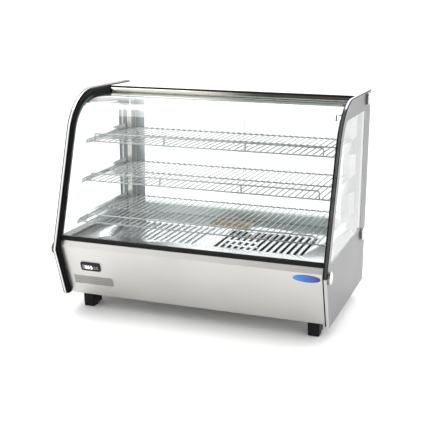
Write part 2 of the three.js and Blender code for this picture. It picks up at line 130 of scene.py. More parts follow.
# Shelves: (y of the front edge, z of the underside), and the wires.
SHELVES = {"upper": (-103, 525), "middle": (-137, 405), "lower": (-176, 281)}
SHELF_HALF = 399
SHELF_STEP_Y = 196
SHELF_BACK_Y = 233
SHELF_WIRES = 41
WIRE_PITCH = 19.85
WIRE_R = 1.8
FRAME_WIRE_R = 2.2
RAIL_UP = 27
RAIL_HALF = 368
RAIL_POST_X = 131
# Middles of what sits on the lower front skin, as (x, z).
CONTROLLER = (-325, 157)
VENT = (-323, 106)
BADGE = (366, 203)
BADGE_HALF = (40, 12)
# The lamp: (y, z) of its middle line, and half its length.
LAMP = (-64, 633.6)
LAMP_HALF = 414

# ---- dimensions of what only the looks have ----
# Radius and inset of the black bead that paints the dark reflection line along each side panel's edge.
EDGE_LINE_R = 1.7
EDGE_INSET = 0.9
RIM_ROUND = 2.4
RIM_WIDTH = 9
TRIM_RIBS = (9, 13.5, 18)
TRIM_RIB_X = 416.3
TRIM_RIB_R = 1.1
VENT_ROWS = 5
VENT_COLUMNS = 15
VENT_PITCH = (9.0, 6.4)
VENT_HOLE_R = 3.1
ROOF_SLOTS = 26
ROOF_SLOT_PITCH = 26
ROOF_SLOT_HALF = 8
ROOF_SLOT_Y = (244, 252)
ROOF_SCREW = (366, 258)
LIT_PLATE_X = (-322, -26)
LIT_PLATE_Y = (-114, 101)
DISPLAY_VALUE = "065"
DIGIT_X = (-14, -4.8, 4.4)
LIT_SEGMENTS = {"0": "abcdef", "6": "acdefg", "5": "acdfg"}
WINDOW_X = -9
KEYS = {"set": 15.5, "up": 24.5}
PILE_X = 385
PILE_Y = (233.6, 236)
PILE_Z = (262, 639)
POST_Z = (229, 638)
HOOK_STRIP_X = 391.6
HOOK_SLOT_X = 394
HOOK_SLOTS = 15
HOOK_FIRST_Z = 250
HOOK_PITCH = 25
POST_GAP_X = 407.8

NODES = frame["nodes"]
LEAN = math.atan(FRONT_SLOPE)
BEND_CENTRE = (
    NOSE[0] + (TOP_Z - NOSE[1]) * FRONT_SLOPE + BEND_R * math.tan((math.pi / 2 - LEAN) / 2),
    TOP_Z - BEND_R,
)


# ---- materials ----
class Nodes:
    """A material's node tree with short calls for the nodes used here."""

    def __init__(self, name, color, roughness, metallic=0.0):
        self.material = bpy.data.materials.new(name)
        self.material.use_nodes = True
        self.tree = self.material.node_tree
        self.shader = self.tree.nodes["Principled BSDF"]
        self.output = self.tree.nodes["Material Output"]
        self.shader.inputs["Base Color"].default_value = (*color, 1)
        self.shader.inputs["Roughness"].default_value = roughness
        self.shader.inputs["Metallic"].default_value = metallic
        self.coordinates = self.node("ShaderNodeTexCoord").outputs["Object"]

    def node(self, kind, **values):
        made = self.tree.nodes.new(kind)
        for key, value in values.items():
            setattr(made, key, value)
        return made

    def link(self, a, b):
        self.tree.links.new(a, b)

    def noise(self, scale, stretch=(1, 1, 1), detail=4.0):
        mapping = self.node("ShaderNodeMapping")
        mapping.inputs["Scale"].default_value = stretch
        self.link(self.coordinates, mapping.inputs["Vector"])
        made = self.node("ShaderNodeTexNoise")
        made.inputs["Scale"].default_value = scale
        made.inputs["Detail"].default_value = detail
        self.link(mapping.outputs["Vector"], made.inputs["Vector"])
        return made.outputs["Fac"]

    def vary_color(self, factor, dark, light, low=0.3, high=0.7):
        ramp = self.node("ShaderNodeValToRGB")
        ramp.color_ramp.elements[0].position = low
        ramp.color_ramp.elements[0].color = (*dark, 1)
        ramp.color_ramp.elements[1].position = high
        ramp.color_ramp.elements[1].color = (*light, 1)
        self.link(factor, ramp.inputs["Fac"])
        self.link(ramp.outputs["Color"], self.shader.inputs["Base Color"])

    def vary_roughness(self, factor, low, high):
        span = self.node("ShaderNodeMapRange")
        span.inputs["From Min"].default_value = 0.3
        span.inputs["From Max"].default_value = 0.7
        span.inputs["To Min"].default_value = low
        span.inputs["To Max"].default_value = high
        self.link(factor, span.inputs["Value"])
        self.link(span.outputs["Result"], self.shader.inputs["Roughness"])

    def bump(self, height, strength, distance):
        made = self.node("ShaderNodeBump")
        made.inputs["Strength"].default_value = strength
        made.inputs["Distance"].default_value = distance
        self.link(height, made.inputs["Height"])
        self.link(made.outputs["Normal"], self.shader.inputs["Normal"])


def tint(color, amount):
    return tuple(min(1.0, c * amount) for c in color)


def brushed_steel(name, color, roughness, grain=(1, 90, 90)):
    m = Nodes(name, color, roughness, 1.0)
    m.shader.inputs["Specular Tint"].default_value = (*tint(color, 0.9), 1)
    lines = m.noise(14, grain, 6)
    m.vary_color(m.noise(5, (1, 1, 1), 2), tint(color, 0.96), tint(color, 1.03))
    m.vary_roughness(lines, roughness * 0.85, roughness * 1.2)
    m.bump(lines, 0.06, 0.0004)
    return m.material


def polished_steel(name, color, roughness, ripple=0.0):
    m = Nodes(name, color, roughness, 1.0)
    smears = m.noise(30, (1, 1, 1), 5)
    m.vary_color(smears, tint(color, 0.95), tint(color, 1.03))
    m.vary_roughness(smears, roughness * 0.8, roughness * 1.3)
    if ripple:
        m.bump(m.noise(9, (1, 1, 1), 1), ripple, 0.002)
    return m.material


def plastic(name, color, roughness, grain=900, strength=0.05, shine=0.5):
    m = Nodes(name, color, roughness)
    m.shader.inputs["Specular IOR Level"].default_value = shine
    speck = m.noise(grain, (1, 1, 1), 3)
    m.vary_color(m.noise(40), tint(color, 0.85), tint(color, 1.15))
    m.vary_roughness(speck, roughness * 0.9, roughness * 1.1)
    m.bump(speck, strength, 0.0003)
    return m.material


def clear_glass(name, color):
    m = Nodes(name, color, 0.0)
    m.shader.inputs["Transmission Weight"].default_value = 1.0
    m.shader.inputs["IOR"].default_value = 1.45
    m.vary_color(m.noise(6), tint(color, 0.995), color)
    clear = m.node("ShaderNodeBsdfTransparent")
    clear.inputs["Color"].default_value = (*color, 1)
    path = m.node("ShaderNodeLightPath")
    mix = m.node("ShaderNodeMixShader")
    m.link(path.outputs["Is Shadow Ray"], mix.inputs["Fac"])
    m.link(m.shader.outputs["BSDF"], mix.inputs[1])
    m.link(clear.outputs["BSDF"], mix.inputs[2])
    m.link(mix.outputs["Shader"], m.output.inputs["Surface"])
    return m.material


def glass_edge():
    m = Nodes("glass_edge", (0.03, 0.16, 0.12), 0.12)
    m.vary_color(m.noise(20, (1, 1, 1), 2), (0.012, 0.085, 0.06), (0.03, 0.16, 0.12))
    m.shader.inputs["Coat Weight"].default_value = 0.5
    return m.material


def badge_blue():
    m = Nodes("badge_blue", (0.03, 0.12, 0.5), 0.25)
    split = m.node("ShaderNodeSeparateXYZ")
    m.link(m.coordinates, split.inputs["Vector"])
    span = m.node("ShaderNodeMapRange")
    span.inputs["From Min"].default_value = (BADGE[0] - BADGE_HALF[0]) * MM
    span.inputs["From Max"].default_value = (BADGE[0] + BADGE_HALF[0]) * MM
    m.link(split.outputs["X"], span.inputs["Value"])
    m.vary_color(span.outputs["Result"], (0.03, 0.21, 0.62), (0.012, 0.028, 0.27), 0.1, 0.95)
    m.shader.inputs["Coat Weight"].default_value = 0.3
    return m.material


def opal(name, color, glow):
    m = Nodes(name, color, 0.3)
    m.vary_color(m.noise(50), tint(color, 0.98), tint(color, 1.02))
    m.shader.inputs["Emission Color"].default_value = (1, 1, 0.98, 1)
    m.shader.inputs["Emission Strength"].default_value = glow
    return m.material


FRONT_STEEL = brushed_steel("front_steel", (0.575, 0.57, 0.55), 0.34)
# The side panels' steel: the case's stainless, set darker than the front's as painted shade.
SIDE_STEEL_PAINTED_SHADE = brushed_steel("side_steel_painted_shade", (0.50, 0.50, 0.505), 0.34, (90, 90, 1))
BODY_STEEL = brushed_steel("body_steel", (0.52, 0.52, 0.51), 0.36)
# The roof's steel: the case's stainless, set much lighter than the rest as painted light.
ROOF_STEEL_PAINTED_LIGHT = brushed_steel("roof_steel_painted_light", (0.85, 0.85, 0.85), 0.4)
POST_STEEL = brushed_steel("post_steel", (0.46, 0.49, 0.495), 0.3, (90, 90, 1))
STRIP_STEEL = brushed_steel("strip_steel", (0.60, 0.585, 0.55), 0.3, (90, 90, 1))
SILL_STEEL = brushed_steel("sill_steel", (0.74, 0.80, 0.79), 0.36)
# The front steel a shade darker, for the band above the fold: painted shade.
FOLD_BAND_PAINTED_SHADE = brushed_steel("fold_band_painted_shade", (0.56, 0.555, 0.535), 0.36)
DECK_STEEL = polished_steel("deck_steel", (0.64, 0.67, 0.675), 0.12, 0.006)
FLANGE_STEEL = polished_steel("flange_steel", (0.60, 0.60, 0.59), 0.12)
# Near-black steel for the strip beside each post: painted shade of the gap there.
POST_GAP_PAINTED_SHADE = brushed_steel("post_gap_steel_shade", (0.12, 0.13, 0.14), 0.3, (90, 90, 1))
# Near-white for the plate under the left deck slots: painted light.
UNDER_SLOT_PAINTED_LIGHT = brushed_steel("under_slot_painted_light", (0.9, 0.93, 0.93), 0.5)
CHROME = polished_steel("polished_chrome", (0.45, 0.435, 0.40), 0.07)
KNOB_FACE = polished_steel("knob_face", (0.66, 0.66, 0.65), 0.12)
# The knobs' sides in near-black steel: painted dark reflection.
KNOB_SIDE_PAINTED_DARK = polished_steel("knob_side_painted_dark", (0.17, 0.155, 0.13), 0.2)
WIRE_CHROME = polished_steel("wire_chrome", (0.34, 0.35, 0.352), 0.3)
BRACKET_STEEL = polished_steel("bracket_steel", (0.66, 0.69, 0.69), 0.15)
BLACK_TRIM = plastic("black_trim", (0.006, 0.0055, 0.006), 0.5, shine=0.08)
BLACK_RUBBER = plastic("black_rubber", (0.009, 0.009, 0.0095), 0.5, shine=0.12)
BLACK_PLASTIC = plastic("black_plastic", (0.009, 0.0085, 0.0095), 0.38, shine=0.3)
KEY_PLASTIC = plastic("key_plastic", (0.15, 0.135, 0.17), 0.4)
ROCKER_PLASTIC = plastic("rocker_plastic", (0.03, 0.25, 0.07), 0.22)
LENS = plastic("display_lens", (0.17, 0.15, 0.20), 0.08)
FAN_METAL = plastic("fan_metal", (0.08, 0.08, 0.085), 0.45)
HEATER_METAL = plastic("heater_metal", (0.16, 0.12, 0.10), 0.5)
PAN_STEEL = polished_steel("pan_steel", (0.50, 0.46, 0.37), 0.2)
PILE_CREAM = plastic("pile_cream", (0.83, 0.78, 0.66), 0.8)
CLEAR_GLASS = clear_glass("clear_glass", (0.988, 0.997, 0.994))
GREEN_GLASS = clear_glass("green_glass", (0.52, 0.65, 0.62))
GLASS_EDGE = glass_edge()
DOOR_EDGE = plastic("door_edge", (0.62, 0.74, 0.71), 0.2)
BADGE_BLUE = badge_blue()
# Grey for the roof slots, which are drawn as blocks: painted shade in the slots.
SLOT_PAINTED_SHADE = plastic("slot_painted_shade", (0.40, 0.38, 0.45), 0.6, shine=0.1)
# Near-black for the sheet behind the vent holes: painted shade.
VENT_PAINTED_SHADE = plastic("vent_painted_shade", (0.012, 0.012, 0.012), 0.7, shine=0.1)
LAMP_WHITE = opal("lamp_white", (0.95, 0.95, 0.95), 1.2)
DIGIT_LIGHT = opal("digit_light", (0.75, 0.85, 1.0), 2.0)


# ---- mesh helpers ----
def finish_piece(name, bm, materials, stands_for=(), sharp=32):
    """Turns a bmesh in millimetres into a piece that rides on a body.

    Edges that turn by less than sharp degrees are shaded smoothly. A piece that stands for CAD nodes replaces
    them and rides on their body.
    """
    bmesh.ops.remove_doubles(bm, verts=bm.verts, dist=1e-4)
    bmesh.ops.recalc_face_normals(bm, faces=bm.faces)
    bmesh.ops.scale(bm, vec=(MM, MM, MM), verts=bm.verts)
    limit = math.radians(sharp)
    for face in bm.faces:
        face.smooth = True
    for edge in bm.edges:
        edge.smooth = len(edge.link_faces) == 2 and edge.calc_face_angle(0) < limit
    mesh = bpy.data.meshes.new(name)
    bm.to_mesh(mesh)
    bm.free()
    piece = bpy.data.objects.new(name, mesh)
    bpy.context.scene.collection.objects.link(piece)
    for material in materials:
        mesh.materials.append(material)
    body = "cabinet"
    if stands_for:
        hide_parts(*stands_for)
        body = NODES[stands_for[0]]["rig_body"]
    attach(piece, body)
    return piece


def soften(bm, width, segments=2, angle=25):
    """Rounds every edge sharper than angle."""
    limit = math.radians(angle)
    edges = [e for e in bm.edges if len(e.link_faces) == 2 and e.calc_face_angle(0) > limit]
    bmesh.ops.bevel(
        bm,
        geom=edges,
        offset=width,
        segments=segments,
        profile=0.5,
        affect="EDGES",
        clamp_overlap=True,
    )


def from_node(node):
    """The CAD node's shape in millimetres with its flat faces whole again."""
    bm = bmesh.new()
    bm.from_mesh(NODES[node].data)
    bmesh.ops.scale(bm, vec=(1 / MM, 1 / MM, 1 / MM), verts=bm.verts)
    bmesh.ops.remove_doubles(bm, verts=bm.verts, dist=1e-3)
    bmesh.ops.dissolve_limit(bm, angle_limit=math.radians(0.5), verts=bm.verts, edges=bm.edges)
    return bm


def refined(node, material, width=0.5):
    """A copy of a CAD node with its edges softened by width, in place of the node."""
    bm = from_node(node)
    if width:
        soften(bm, width)
    return finish_piece(f"{node}_finished", bm, [material], (node,))


def colour_by_normal(piece, axis, least=0.7):
    """Gives the second material to faces that look along the axis."""
    for face in piece.data.polygons:
        if abs(face.normal[axis]) > least:
            face.material_index = 1


def sign_of(side):
    return 1 if side == "right" else -1


def skin(bm, rings):
    """Joins each ring of vertices to the next and closes both ends."""
    for a, b in zip(rings, rings[1:]):
        for k in range(len(a)):
            j = (k + 1) % len(a)
            bm.faces.new((a[k], a[j], b[j], b[k]))
    bm.faces.new(rings[0][::-1])
    bm.faces.new(rings[-1])


def prism_x(bm, outline, x0, x1):
    """Adds a closed prism along X from a (y, z) outline."""
    near = [bm.verts.new((x0, y, z)) for y, z in outline]
    far = [bm.verts.new((x1, y, z)) for y, z in outline]
    skin(bm, [far, near])


def block(bm, x0, x1, y0, y1, z0, z1):
    prism_x(bm, [(y0, z0), (y1, z0), (y1, z1), (y0, z1)], x0, x1)


def filleted(path, radius, steps=5):
    """The path with each inner corner rounded."""
    points = [Vector(path[0])]
    for before, corner, after in zip(path, path[1:], path[2:]):
        a, b, c = Vector(before), Vector(corner), Vector(after)
        u, v = (a - b).normalized(), (c - b).normalized()
        half = math.acos(max(-1, min(1, u.dot(v)))) / 2
        cut = min(radius / math.tan(half), (a - b).length * 0.45, (c - b).length * 0.45)
        start, end = b + u * cut, b + v * cut
        for i in range(steps + 1):
            t = i / steps
            points.append(start * (1 - t) ** 2 + b * 2 * t * (1 - t) + end * t**2)
    points.append(Vector(path[-1]))
    return points


def sheet_outline(path, t):
    """The closed outline of a bent sheet: the path and the same path moved t to its left."""
    points = [Vector(p) for p in path]
    normals = []
    for p, q in zip(points, points[1:]):
        along = (q - p).normalized()
        normals.append(Vector((-along.y, along.x)))
    moved = []
    for i, p in enumerate(points):
        n, m = normals[max(i - 1, 0)], normals[min(i, len(normals) - 1)]
        moved.append(p + (n + m) * (t / (1 + n.dot(m))))
    return [tuple(p) for p in points + moved[::-1]]


def tube(bm, points, radius, sides=8):
    """Adds a round tube through the points, with capped ends."""
    points = [Vector(p) for p in points]
    rings = []
    for i, point in enumerate(points):
        along = (points[min(i + 1, len(points) - 1)] - points[max(i - 1, 0)]).normalized()
        level = Vector((0, 0, 1)) if abs(along.z) < 0.9 else Vector((1, 0, 0))
        side = along.cross(level).normalized()
        up = side.cross(along)
        ring = []
        for k in range(sides):
            angle = 2 * math.pi * k / sides
            ring.append(bm.verts.new(point + (side * math.cos(angle) + up * math.sin(angle)) * radius))
        rings.append(ring)
    skin(bm, rings)


def lathe(bm, profile, place, axis="x", sign=1, sides=48):
    """Adds a turned solid: profile is (height along axis, radius) from its base to its top."""
    rings = []
    for height, radius in profile:
        ring = []
        for k in range(sides):
            angle = 2 * math.pi * k / sides
            offset = [radius * math.cos(angle), radius * math.sin(angle)]
            offset.insert("xyz".index(axis), sign * height)
            ring.append(bm.verts.new(Vector(place) + Vector(offset)))
        rings.append(ring)
    skin(bm, rings)


def rounded_rectangle(half_x, half_z, radius, steps=6):
    points = []
    for cx, cz, start in ((1, 1, 0), (-1, 1, 90), (-1, -1, 180), (1, -1, 270)):
        for i in range(steps + 1):
            angle = math.radians(start + 90 * i / steps)
            x = cx * (half_x - radius) + radius * math.cos(angle)
            z = cz * (half_z - radius) + radius * math.sin(angle)
            points.append((x, z))
    return points


def plate_y(bm, outline, y0, y1):
    """Adds a closed plate along Y from an (x, z) outline; y0 faces the customer."""
    near = [bm.verts.new((x, y0, z)) for x, z in outline]
    far = [bm.verts.new((x, y1, z)) for x, z in outline]
    skin(bm, [far, near])


def on_front(bm, x, z):
    """Moves what was made flat round the origin, facing -Y, on to the leaning front skin."""
    turn = Matrix.Rotation(math.atan(UNDER_SLOPE), 4, "X")
    place = Matrix.Translation((x, lower_skin_y(z, TRIM_DEPTH), z))
    bm.transform(place @ turn)


def cut_with(piece, cutter):
    """Cuts the cutter's shape out of the piece and drops the cutter."""
    modifier = piece.modifiers.new("cut", "BOOLEAN")
    modifier.operation = "DIFFERENCE"
    modifier.solver = "EXACT"
    modifier.object = cutter
    depsgraph = bpy.context.evaluated_depsgraph_get()
    mesh = bpy.data.meshes.new_from_object(piece.evaluated_get(depsgraph))
    piece.modifiers.clear()
    piece.data = mesh
    bpy.data.objects.remove(cutter)


def loose_object(bm):
    bmesh.ops.recalc_face_normals(bm, faces=bm.faces)
    bmesh.ops.scale(bm, vec=(MM, MM, MM), verts=bm.verts)
    mesh = bpy.data.meshes.new("cutter")
    bm.to_mesh(mesh)
    bm.free()
    made = bpy.data.objects.new("cutter", mesh)
    bpy.context.scene.collection.objects.link(made)
    return made


# ---- the side profile, as in the CAD ----
def upper_skin_y(z, depth):
    return NOSE[0] + (z - NOSE[1]) * FRONT_SLOPE + depth * math.hypot(1, FRONT_SLOPE)


def lower_skin_y(z, depth):
    return NOSE[0] + (NOSE[1] - z) * UNDER_SLOPE + depth * math.hypot(1, UNDER_SLOPE)


def bend_arc(depth):
    """(y, z) points of the profile's bend at a depth, from the top round to the slope."""
    points = []
    for i in range(BEND_STEPS + 1):
        angle = math.pi / 2 + (math.pi / 2 - LEAN) * i / BEND_STEPS
        y = BEND_CENTRE[0] + (BEND_R - depth) * math.cos(angle)
        z = BEND_CENTRE[1] + (BEND_R - depth) * math.sin(angle)
        points.append((y, z))
    return points


def front_path(depth):
    """(y, z) points at a depth from behind the bend, down the front, to the bottom edge."""
    points = [(60, TOP_Z - depth), *bend_arc(depth)]
    points.append((upper_skin_y(NOSE[1] + 1, depth), NOSE[1] + 1))
    points.append((lower_skin_y(BOTTOM_Z + 3, depth), BOTTOM_Z + 3))
    return points


# ---- steel body ----
def front_panel():
    """The folded front sheet, with its openings cut; its band above the fold gets its own copy of the steel,
    a shade darker and a little rougher: painted shade.
    """
    bottom_y = lower_skin_y(BOTTOM_Z + 0.3, TRIM_DEPTH)
    top_y = upper_skin_y(SKIN_TOP_Z, TRIM_DEPTH)
    path = [
        (bottom_y + BOTTOM_FLANGE, BOTTOM_Z + 0.3),
        (bottom_y, BOTTOM_Z + 0.3),
        (lower_skin_y(FOLD_Z, TRIM_DEPTH), FOLD_Z),
        (top_y, SKIN_TOP_Z),
        (top_y + TOP_FLANGE, SKIN_TOP_Z),
    ]
    bm = bmesh.new()
    prism_x(bm, sheet_outline(filleted(path, 2.4), -SHEET), -SPAN, SPAN)
    panel = finish_piece("front_panel_finished", bm, [FRONT_STEEL, FOLD_BAND_PAINTED_SHADE], ("front_panel",))
    # Painted shade: faces of the band above the fold take the darker copy of the front steel.
    for face in panel.data.polygons:
        if face.normal.z > 0.1 and face.normal.y < -0.5:
            face.material_index = 1
    cut_with(panel, vent_cutter())
    cut_with(panel, controller_cutter())
    return panel


def vent_cutter():
    bm = bmesh.new()
    for row in range(VENT_ROWS):
        z = (row - (VENT_ROWS - 1) / 2) * VENT_PITCH[1]
        shift = (row % 2) * VENT_PITCH[0] / 2
        for column in range(VENT_COLUMNS):
            x = (column - VENT_COLUMNS / 2) * VENT_PITCH[0] + shift
            lathe(bm, [(-6, VENT_HOLE_R), (6, VENT_HOLE_R)], (x, 0, z), "y", 1, 14)
    on_front(bm, *VENT)
    return loose_object(bm)


def controller_cutter():
    bm = bmesh.new()
    plate_y(bm, rounded_rectangle(29.6, 12.1, 1), -6, 6)
    on_front(bm, *CONTROLLER)
    return loose_object(bm)


def vent_shade_sheet():
    """A near-black sheet behind the vent holes: painted shade inside them."""
    bm = bmesh.new()
    plate_y(bm, rounded_rectangle(VENT_COLUMNS * VENT_PITCH[0] / 2 + 6, 20, 3), 1.6, 1.9)
    on_front(bm, *VENT)
    return finish_piece("vent_shade_sheet", bm, [VENT_PAINTED_SHADE])


def on_outline(y, z, near=3):
    """Whether a side panel's vertex lies on its outer profile."""
    if y > REAR_Y - 5 or z < BOTTOM_Z + near or z > TOP_Z - 1:
        return True
    if z < NOSE[1]:
        return y < lower_skin_y(z, near)
    in_bend = z > BEND_CENTRE[1] and y < BEND_CENTRE[0]
    return y < upper_skin_y(z, near) or (in_bend and math.dist((y, z), BEND_CENTRE) > BEND_R - near)


def side_panel(side):
    """The pressed side panel: a rounded outer edge and a polished rim; under the right-hand nose the rim
    keeps the darker side steel as painted shade.
    """
    name = f"side_panel_{side}"
    bm = from_node(name)
    rim = [
        e for e in bm.edges
        if len(e.link_faces) == 2 and e.calc_face_angle(0) > 1
        and all(abs(v.co.x) > HALF_W - 0.1 and on_outline(v.co.y, v.co.z) for v in e.verts)
    ]
    bmesh.ops.bevel(
        bm, geom=rim, offset=RIM_ROUND, segments=4, profile=0.5, affect="EDGES", clamp_overlap=False
    )
    piece = finish_piece(f"{name}_finished", bm, [SIDE_STEEL_PAINTED_SHADE, FLANGE_STEEL], (name,), sharp=30)
    for face in piece.data.polygons:
        in_rim = abs(face.normal.x) < 0.95 and abs(face.center.x) > (HALF_W - RIM_WIDTH) * MM
        # Painted shade: on the right, the rim below the nose keeps the darker side steel instead of the
        # polished one.
        shaded_right_rim = side == "right" and face.center.z < (NOSE[1] - 2) * MM
        if in_rim and not shaded_right_rim:
            face.material_index = 1
    return piece


def painted_edge_line(side):
    """A thin black bead along a side panel's outer edge, painted reflection: it stands for the dark line that
    the rounded edge mirrors; the right-hand one ends at the nose.
    """
    outline = [(REAR_Y - 3, TOP_Z - EDGE_INSET), *front_path(EDGE_INSET)]
    if side == "right":
        outline = outline[:-1]
    path = [(sign_of(side) * (HALF_W - EDGE_INSET), y, z) for y, z in outline]
    bm = bmesh.new()
    tube(bm, path, EDGE_LINE_R, 10)
    return finish_piece(f"painted_edge_line_{side}", bm, [BLACK_TRIM])


def side_trim(side):
    """The black trim with three raised ribs along its inner face."""
    name = f"side_trim_{side}"
    bm = from_node(name)
    soften(bm, 0.5)
    for depth in TRIM_RIBS:
        path = [(sign_of(side) * TRIM_RIB_X, y, z) for y, z in front_path(depth)]
        tube(bm, path, TRIM_RIB_R)
    return finish_piece(f"{name}_finished", bm, [BLACK_TRIM], (name,), sharp=40)


def top_panel():
    path = [
        (ROOF_FRONT_Y, ROOF_Z - 14),
        (ROOF_FRONT_Y, ROOF_Z),
        (ROOF_BACK_Y, ROOF_Z),
        (ROOF_BACK_Y, ROOF_SKIRT_Z),
    ]
    bm = bmesh.new()
    prism_x(bm, sheet_outline(filleted(path, 2.5), -SHEET), -SPAN, SPAN)
    return finish_piece("top_panel_finished", bm, [ROOF_STEEL_PAINTED_LIGHT], ("top_panel",))


def roof_gap_shade_strip():
    """A black strip filling the gap between the rail and the roof: painted shade in the gap."""
    bm = bmesh.new()
    block(bm, -SPAN, SPAN, RAIL_FRONT_Y + 5, ROOF_FRONT_Y - 0.1, ROOF_Z - 12, ROOF_Z - 0.4)
    soften(bm, 0.8, 3)
    return finish_piece("roof_gap_shade_strip", bm, [BLACK_RUBBER])


def roof_slots():
    """A row of short slots near the rear edge of the roof, drawn as grey blocks lying on it: painted shade in
    the slots.
    """
    bm = bmesh.new()
    for i in range(ROOF_SLOTS):
        x = (i - (ROOF_SLOTS - 1) / 2) * ROOF_SLOT_PITCH
        block(bm, x - ROOF_SLOT_HALF, x + ROOF_SLOT_HALF, *ROOF_SLOT_Y, ROOF_Z - 0.4, ROOF_Z + 0.15)
    return finish_piece("roof_slot_row", bm, [SLOT_PAINTED_SHADE])


def roof_screw(side):
    """A low domed screw near a rear corner of the roof."""
    x, y = ROOF_SCREW
    profile = [(-0.5, 4), (0, 4.2), (1.2, 3.8), (1.9, 2.4), (1.9, 1.6), (1.2, 1.4)]
    bm = bmesh.new()
    lathe(bm, profile, (sign_of(side) * x, y, ROOF_Z), "z", 1, 24)
    return finish_piece(f"roof_screw_{side}", bm, [CHROME])


def glass_top_rail():
    """The polished rail: a rounded crown, a flat front and a groove for the rear edge of the glass."""
    y, groove_y = RAIL_FRONT_Y, RAIL_FRONT_Y + 9
    crown = [(y + 8, ROOF_Z - 5.6), (y + 4.6, ROOF_Z - 6), (y + 2.2, ROOF_Z - 9), (y, ROOF_Z - 15)]
    high, low = TOP_Z - GLASS_OUTER + 0.3, TOP_Z - GLASS_INNER - 0.3
    groove = [(y, high), (groove_y, high), (groove_y, low), (y, low), (y, RAIL_BOTTOM_Z)]
    bm = bmesh.new()
    prism_x(bm, sheet_outline(filleted(crown + groove, 1.6, 4), SHEET), -SPAN, SPAN)
    return finish_piece("glass_top_rail_finished", bm, [CHROME], ("glass_top_rail",), sharp=40)


def side_knob(side, level, place):
    """A turned cap nut: stepped flange, grooved rim and a domed face."""
    profile = [
        (0.3, 12), (0.3, 18.4), (0.8, 19), (3.2, 19), (3.8, 18.2), (4.6, 18.2), (5.2, 19),
        (7.4, 19), (8.4, 18.2), (9.4, 16.4), (10.4, 12), (10.9, 6), (11, 0.6),
    ]
    sign = sign_of(side)
    bm = bmesh.new()
    lathe(bm, profile, (sign * HALF_W, *place), "x", sign, 64)
    name = f"side_knob_{level}_{side}"
    piece = finish_piece(f"{name}_finished", bm, [KNOB_SIDE_PAINTED_DARK, KNOB_FACE], (name,), sharp=28)
    # Painted reflection: faces looking along X take the light knob steel, the rest the near-black one, though
    # the nut is one polished steel.
    colour_by_normal(piece, 0, 0.6)
    return piece


def foot(end, side):
    """A moulded block with draft, rounded corners and a groove above its tread; front feet have a heel."""
    x = sign_of(side) * FOOT_X
    levels = [(0, 15.6), (1.2, 17), (9, 17.3), (10, 16.6), (11, 16.6), (12, 17.4), (48, 18.8), (FOOT_H, 19)]
    bm = bmesh.new()
    rings = []
    for z, half in levels:
        outline = rounded_rectangle(half, half, 3.5)
        rings.append([bm.verts.new((x + a, FEET[end] + b, z)) for a, b in outline])
    skin(bm, rings)
    if end == "front":
        block(bm, x - 15, x + 15, FEET[end] + 12, FOOT_HEEL_Y, 4, 40)
    name = f"foot_{end}_{side}"
    return finish_piece(f"{name}_finished", bm, [BLACK_RUBBER], (name,), sharp=38)


def lit_slot_plate():
    """A pale plate close under the left-hand group of deck slots: painted light, so those slots read light.
    """
    bm = bmesh.new()
    block(bm, *LIT_PLATE_X, *LIT_PLATE_Y, DECK_Z - 5.5, DECK_Z - 4.5)
    soften(bm, 0.3)
    return finish_piece("lit_slot_plate", bm, [UNDER_SLOT_PAINTED_LIGHT])


# ---- glass ----
def front_glass():
    """The curved pane, with green cut edges and a greener tint where it lies almost level."""
    outline = [(GLASS_BACK_Y, TOP_Z - GLASS_OUTER), *bend_arc(GLASS_OUTER)]
    outline += [(upper_skin_y(GLASS_BOTTOM_Z, d), GLASS_BOTTOM_Z) for d in (GLASS_OUTER, GLASS_INNER)]
    outline += [*reversed(bend_arc(GLASS_INNER)), (GLASS_BACK_Y, TOP_Z - GLASS_INNER)]
    bm = bmesh.new()
    prism_x(bm, outline, -SPAN + 0.2, SPAN - 0.2)
    materials = [CLEAR_GLASS, GLASS_EDGE, GREEN_GLASS]
    piece = finish_piece("front_glass_pane", bm, materials, ("front_glass",), sharp=40)
    colour_by_normal(piece, 0)
    for face in piece.data.polygons:
        if face.normal.z > 0.985:
            face.material_index = 2
    return piece


def side_glass(side):
    name = f"side_glass_{side}"
    bm = from_node(name)
    return finish_piece(f"{name}_pane", bm, [CLEAR_GLASS], (name,), sharp=30)


def door_glass(side):
    """A door's pane, shaded flat, since smooth shading would make a lens of it."""
    name = f"door_glass_{side}"
    bm = from_node(name)
    soften(bm, 0.6)
    piece = finish_piece(f"{name}_pane", bm, [CLEAR_GLASS, DOOR_EDGE], (name,), sharp=10)
    colour_by_normal(piece, 0, 0.4)
    return piece


def front_glass_seal():
    """The black seal that the front glass stands in, with a bead along its front."""
    z_and_depth = [
        (238.8, 22.9), (240.2, 22.2), (248.6, 22.2), (250.6, 23), (251, 24.4),
        (251, GLASS_INNER + 0.6), (250.2, 31), (238.8, 31.4),
    ]
    outline = [(upper_skin_y(z, depth), z) for z, depth in z_and_depth]
    bm = bmesh.new()
    prism_x(bm, outline, -SPAN, SPAN)
    return finish_piece("front_glass_seal_bead", bm, [BLACK_RUBBER], ("front_glass_seal",), sharp=60)


